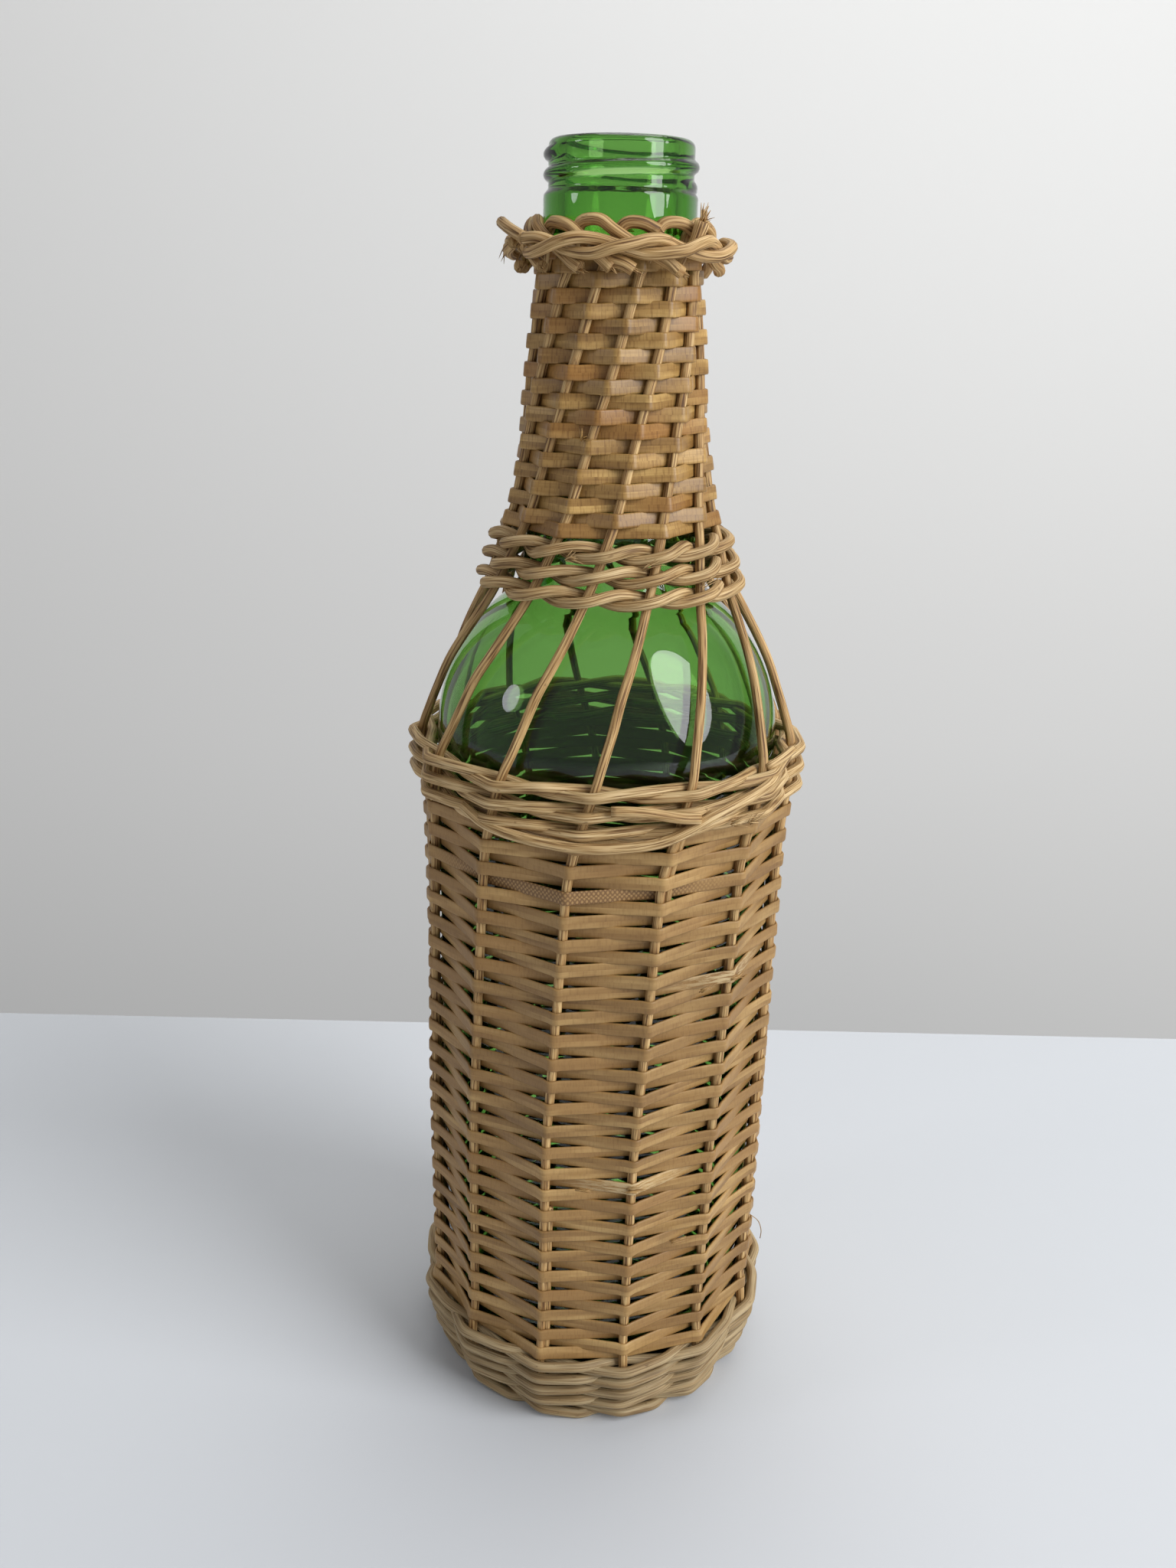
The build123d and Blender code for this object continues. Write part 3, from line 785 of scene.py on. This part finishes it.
body_weave = weave(
    "body_weaver", BODY_FOOT_Z, width=3.36, rows=BODY_ROWS, pieces=BODY_PIECES, reach=1.5, slope_run=0.95,
    material=BODY_STRIP, seed=61, uneven=0.08,
)
for z, azimuth, count in BODY_TORN:
    torn_piece = body_weave[int((z - BODY_FOOT_Z) / (BODY_ROWS * STRIP_RISE / BODY_PIECES))]
    torn_piece.fibres(
        polar(BODY_TORN_R, azimuth, z), polar(1.0, azimuth + ALONG_STRIP, BODY_TORN_LIFT),
        count, length=4.6, spread=0.16, radius=0.16,
    )
body_weave[0].round_cane(flowing(polars(HAIR), steps=4), HAIR_R, rounding=1)
neck_weave = weave(
    "neck_weaver", NECK_FOOT_Z, width=3.42, rows=NECK_ROWS, pieces=NECK_PIECES, reach=1.45, slope_run=0.85,
    material=NECK_STRIP, seed=71, uneven=0.09,
)
neck_weave[0].fibres(polar(*NECK_TORN), NECK_TORN_WAY, count=8, length=2.2, spread=0.7)
for piece in body_weave + neck_weave:
    piece.finish()


# Border wreath: two canes twisted about each other outside the loops. The
# first starts at the left with a blunt cut end.
WREATH_R, WREATH_Z = 24.1, 297.9
WREATH_CANE_R = 1.33
TWIST_R = 1.5
TWISTS, TWIST_POINTS = 5, 8
WREATH_START = -58
WREATH_OUT_WAVER, WREATH_UP_WAVER = 0.12, 0.2
WREATH_TONES = (1.0, 1.08)
CUT_END_R = 1.3
LEFT_STUB = [(24.5, -60.0, 299.6), (25.5, -71.0, 301.2), (26.6, -82.5, 302.8)]
LEFT_TORN = (25.8, -82.0, 297.0)
LEFT_TORN_WAY = Vector((-0.4, 0, -1.0))
# cut ends of other canes, seen below the wreath: distances, degrees back, heights
CUT_END = [(21.8, 13, 297.4), (22.5, 6, 295.5), (22.9, 0, 293.5)]
CUT_END_AZIMUTHS = (-5.0, 32.0)
# an end at the right that stands up and is frayed
FRAYED_END = [(22.4, 42.0, 297.0), (22.8, 45.5, 299.8), (23.2, 48.5, 303.0)]
FRAYED_SWELL = [1.0, 1.0, 1.02, 1.05, 1.12, 1.2, 1.25]
FRAYED_UP, FRAYED_OUT = Vector((0.25, -0.1, 1.0)), Vector((1.0, 0.0, 0.3))


def wreath(number, first_angle):
    """One cane of the wreath."""
    node = f"border_plait_{number}"
    piece = Piece(f"{node}_reed", BORDER_REED, "border_cane", node, 80 + number)
    points = []
    for step in range(TWISTS * TWIST_POINTS):
        turn = radians(first_angle + 360 / TWIST_POINTS * step)
        points.append(polar(
            WREATH_R + TWIST_R * cos(turn) + waver(piece.chance, WREATH_OUT_WAVER),
            WREATH_START + 360 / (TWISTS * TWIST_POINTS) * step,
            WREATH_Z + TWIST_R * sin(turn) + waver(piece.chance, WREATH_UP_WAVER),
        ))
    piece.round_cane(flowing(points, steps=5), WREATH_CANE_R, tone=piece.chance.uniform(*WREATH_TONES))
    return piece


piece = wreath(1, first_angle=250)
stub = polars(LEFT_STUB)
piece.round_cane(flowing(stub, steps=3), CUT_END_R, tone=0.94)
piece.end_fibres(stub, count=9, length=1.6, spread=0.35)
piece.fibres(polar(*LEFT_TORN), LEFT_TORN_WAY, count=6, length=2.4, spread=0.4)
piece.finish()

piece = wreath(2, first_angle=70)
for azimuth in CUT_END_AZIMUTHS:
    end = [polar(out, azimuth - back, z) for out, back, z in CUT_END]
    piece.round_cane(flowing(end, steps=3), CUT_END_R)
    piece.end_fibres(end, count=6, length=1.6, spread=0.3)
frayed = polars(FRAYED_END)
piece.round_cane(flowing(frayed, steps=3), ROUND_R, swell=FRAYED_SWELL, tone=1.06)
piece.fibres(frayed[-1], FRAYED_UP, count=14, length=3.6, spread=0.3, radius=0.2)
piece.fibres(frayed[-1], FRAYED_OUT, count=8, length=2.4, spread=0.5)
piece.finish()


# Base: one reed coiled under the spokes
COIL_R = 1.25
COIL_START_R = 0.4
COIL_SPACING = 2.72
COIL_TURNS, COIL_TURN_POINTS = 13, 36

piece = Piece("base_rings_coil", ROW_REED, "round_cane", "base_rings", 90)
coil = [
    polar(COIL_START_R + COIL_SPACING * step / COIL_TURN_POINTS, step * 360 / COIL_TURN_POINTS, COIL_R)
    for step in range(COIL_TURNS * COIL_TURN_POINTS)
]
piece.round_cane(coil, COIL_R)
piece.finish()


# Glass: wall spun from its outline, with a screw thread raised on the mouth.
# The outline is in pairs of distance from the axis and height.
BODY_R = 42.75
WALL = 3.0
HEEL_R = 20.0
HEEL_Z = 24.4
FLOOR_RISE = 1.5
SHOULDER_Z = 184.5
NECK_WALL = 2.4
BORE_R = 12.5
LIP_Z = 320.3
LIP_R, LIP_ROUND = 14.55, 1.7
MOUTH_R = 16.25
MOUTH_FOOT_Z, MOUTH_TOP_Z, MOUTH_STEP = 310.1, LIP_Z - 1.6, 0.3
PUNT_UNDER = [(0.0, 12.4), (6.0, 11.8), (12.0, 9.7), (17.0, 6.8), (19.5, 4.9), (21.0, 4.4)]
PUNT_OVER = [(19.0, 10.0), (14.0, 13.6), (8.0, 16.2), (0.0, 16.9)]
ROOT_OUTSIDE = [(23.7, 220.8), (22.2, 223.8), (21.6, 226.6)]
ROOT_INSIDE = [(19.4, 223.4), (20.8, 220.0)]
NECK = [(21.3, 228.0), (19.8, 240.0), (17.75, 256.0), (16.35, 272.0), (14.9, 289.5), (14.9, 297.2)]
BEAD = [
    (15.3, 297.9), (16.6, 299.6), (17.15, 300.3), (17.3, 300.9), (17.3, 304.8), (17.3, 308.3),
    (17.2, 308.8), (16.75, 309.4), (16.4, 309.8),
]
BORE = [
    (13.4, LIP_Z - 0.05), (12.75, LIP_Z - 0.6), (BORE_R, LIP_Z - 1.4), (BORE_R, 310.0), (BORE_R, 296.0),
    (BORE_R, 289.5),
]
SPIN_STEPS = 200
EASED_STEPS = 6
# screw thread: one rounded ridge that fades in and out at its ends
THREAD_TURNS = 1.7
THREAD_PITCH = 4.23
THREAD_FOOT_Z, THREAD_AZIMUTH = 310.3, 60.0
THREAD_HALF = 1.45
THREAD_STAND = 1.1
THREAD_FADE = 9.0
THREAD_ROUNDING = 0.75
THREAD_LOW_Z, THREAD_HIGH_Z, THREAD_INSIDE_R = 309.5, 319.0, 15.5
# seam that the two halves of the mould leave on the mouth
SEAM_AZIMUTH = 31.0
SEAM_STAND = 0.14
SEAM_HALF = 1.6
SEAM_FOOT_Z, SEAM_INSIDE_R = 298.0, 15.0


def arc(centre, radius, angles):
    """Places on an arc about a centre, at angles in degrees."""
    return [(centre[0] + radius * cos(radians(a)), centre[1] + radius * sin(radians(a))) for a in angles]


def eased(places):
    """A smooth run through places of the outline."""
    return [(at.x, at.y) for at in flowing([Vector(place) for place in places], EASED_STEPS)]


def glass_outline():
    """Outer then inner outline of the wall, from the punt to the punt."""
    outer = PUNT_UNDER + arc((BODY_R - HEEL_R, HEEL_Z), HEEL_R, range(-90, 1, 15))
    outer += [(BODY_R, z) for z in (60.0, 120.0, 175.0)]
    outer += arc((0.0, SHOULDER_Z), BODY_R, [4.4 * k for k in range(13)])
    outer += eased(outer[-2:] + ROOT_OUTSIDE + NECK)[EASED_STEPS + 1:] + BEAD
    z = MOUTH_FOOT_Z
    while z < MOUTH_TOP_Z:
        outer.append((MOUTH_R, z))
        z += MOUTH_STEP
    outer += arc((LIP_R, LIP_Z - LIP_ROUND), LIP_ROUND, range(0, 91, 15))
    dome = arc((0.0, SHOULDER_Z), BODY_R - WALL, [4.6 * k for k in range(12, -1, -1)])
    neck_inside = [(r - NECK_WALL, z) for r, z in reversed(NECK[:4])]
    inner = BORE + eased(BORE[-1:] + neck_inside + ROOT_INSIDE + dome[:2])[1:-EASED_STEPS - 1] + dome
    inner += [(BODY_R - WALL, z) for z in (120.0, 60.0)]
    inner += arc((BODY_R - HEEL_R, HEEL_Z + FLOOR_RISE), HEEL_R - WALL, range(0, -91, -15))
    return outer + inner + PUNT_OVER


def thread_height(azimuth, z):
    """How far the screw thread stands out at a place on the mouth."""
    best = 0.0
    for turn in range(int(THREAD_TURNS) + 1):
        along = ((azimuth - THREAD_AZIMUTH) % 360.0) / 360.0 + turn
        if along > THREAD_TURNS:
            continue
        away = (z - (THREAD_FOOT_Z + along * THREAD_PITCH)) / THREAD_HALF
        fade = min(1.0, along * THREAD_FADE, (THREAD_TURNS - along) * THREAD_FADE)
        best = max(best, fade * max(0.0, 1.0 - away ** 2) ** THREAD_ROUNDING)
    return best * THREAD_STAND


bm = bmesh.new()
ring = [bm.verts.new((r * MM, 0.0, z * MM)) for r, z in glass_outline()]
edges = [bm.edges.new(pair) for pair in zip(ring, ring[1:])]
bmesh.ops.spin(
    bm, geom=ring + edges, cent=(0, 0, 0), axis=(0, 0, 1), angle=tau, steps=SPIN_STEPS, use_merge=True
)
bmesh.ops.remove_doubles(bm, verts=bm.verts, dist=1e-7)
for vert in bm.verts:
    radius = hypot(vert.co.x, vert.co.y) / MM
    height = vert.co.z / MM
    azimuth = degrees(atan2(vert.co.x, -vert.co.y))
    stand = 0.0
    if THREAD_LOW_Z < height < THREAD_HIGH_Z and radius > THREAD_INSIDE_R:
        stand = thread_height(azimuth, height)
    if height > SEAM_FOOT_Z and radius > SEAM_INSIDE_R:
        for seam in (SEAM_AZIMUTH, SEAM_AZIMUTH - 180.0):
            stand += SEAM_STAND * max(0.0, 1.0 - abs(azimuth - seam) / SEAM_HALF)
    if stand:
        vert.co.x *= (radius + stand) / radius
        vert.co.y *= (radius + stand) / radius
bmesh.ops.recalc_face_normals(bm, faces=bm.faces)
for face in bm.faces:
    face.smooth = True
bottle = placed("bottle_of_green_glass", bm, GLASS)
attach(bottle, "root")
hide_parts("glass_bottle")


# Stage: a pale shelf, and a plain pale wall behind it. Sizes from here on are
# in metres.
SHELF_HALF = 0.95
SHELF_EDGE_Y = 0.165
WALL_HALF = 3.0
WALL_PLACE = (0, 0.9, 1.2)


# Brushed or rolled wall paint: pale and matt, with next to no sheen
def painted(name, code, roughness):
    """Paint of one colour."""
    material, _, surface, _ = new_material(name)
    set_inputs(surface, {"Base Color": linear(code), "Roughness": roughness, "Specular IOR Level": 0.2})
    return material


def board(name, half_size, place, turn, material):
    """A flat square board of the stage."""
    bm = bmesh.new()
    bmesh.ops.create_grid(bm, x_segments=2, y_segments=2, size=half_size)
    bmesh.ops.rotate(bm, verts=bm.verts, matrix=Matrix.Rotation(turn, 3, "X"))
    bmesh.ops.translate(bm, verts=bm.verts, vec=place)
    placed(name, bm, material)


SHELF_PAINT = painted("painted_board_shelf", "#CCCFD2", roughness=0.85)
board("shelf", SHELF_HALF, (0, SHELF_EDGE_Y - SHELF_HALF, 0), 0.0, SHELF_PAINT)
WALL_PAINT = painted("painted_plaster_wall", "#EFEEEA", roughness=0.8)
board("wall", WALL_HALF, WALL_PLACE, radians(90), WALL_PAINT)


def lamp(name, place, target, size, energy, code):
    """A soft oval lamp that the camera doesn't see."""
    light = bpy.data.lights.new(name, "AREA")
    light.shape = "ELLIPSE"
    light.size, light.size_y = size
    light.energy = energy
    light.color = linear(code)[:3]
    made = bpy.data.objects.new(name, light)
    bpy.context.scene.collection.objects.link(made)
    made.location = place
    made.visible_camera = False
    made.rotation_euler = (Vector(target) - Vector(place)).to_track_quat("-Z", "Y").to_euler()


MIDDLE = (0, 0, 0.16)
FOOT = (0, 0.02, 0.1)
lamp("right_side", place=(1.15, -0.68, 0.9), target=MIDDLE, size=(0.95, 1.7), energy=27.0, code="#FBFCFF")
lamp("left_side", place=(-1.15, -0.35, 0.62), target=MIDDLE, size=(0.28, 0.34), energy=1.3, code="#F6F4FF")
lamp("from_above", place=(0.15, 0.32, 1.4), target=FOOT, size=(1.0, 1.0), energy=6.0, code="#FFFFFF")

# The room is dim, but looks pale where the camera sees it, also through glass
ROOM_LIGHT = 0.37
SEEN_LIGHT = 0.45
world = bpy.data.worlds.new("room")
bpy.context.scene.world = world
world.use_nodes = True
room = world.node_tree
sky = room.nodes["Background"]
sky.inputs["Color"].default_value = linear("#E4E6EA")
rays = add(room, "LightPath").outputs
seen = add(room, "Math", {0: rays["Is Camera Ray"], 1: rays["Is Transmission Ray"]}, operation="MAXIMUM")
strength = add(room, "Math", {0: seen.outputs[0], 1: SEEN_LIGHT, 2: ROOM_LIGHT}, operation="MULTIPLY_ADD")
room.links.new(strength.outputs[0], sky.inputs["Strength"])

# Camera, solved from the photo: place, tilt down, roll and focal length
CAMERA_PLACE = (-0.0044, -0.3278, 0.290)
CAMERA_DOWN = 20.3
CAMERA_ROLL = 1.27
FOCAL_PX, PHOTO_HEIGHT_PX = 1760, 2048
SENSOR_MM = 36.0
camera_data = bpy.data.cameras.new("camera")
camera_data.sensor_fit = "AUTO"
camera_data.sensor_width = SENSOR_MM
camera_data.lens = SENSOR_MM * FOCAL_PX / PHOTO_HEIGHT_PX
camera_data.clip_start = 0.01
camera = bpy.data.objects.new("camera", camera_data)
bpy.context.scene.collection.objects.link(camera)
camera.matrix_world = (
    Matrix.Translation(CAMERA_PLACE)
    @ Matrix.Rotation(radians(90 - CAMERA_DOWN), 4, "X")
    @ Matrix.Rotation(radians(CAMERA_ROLL), 4, "Z")
)
bpy.context.scene.camera = camera

bpy.context.scene.view_settings.view_transform = "Standard"

bpy.context.view_layer.update()
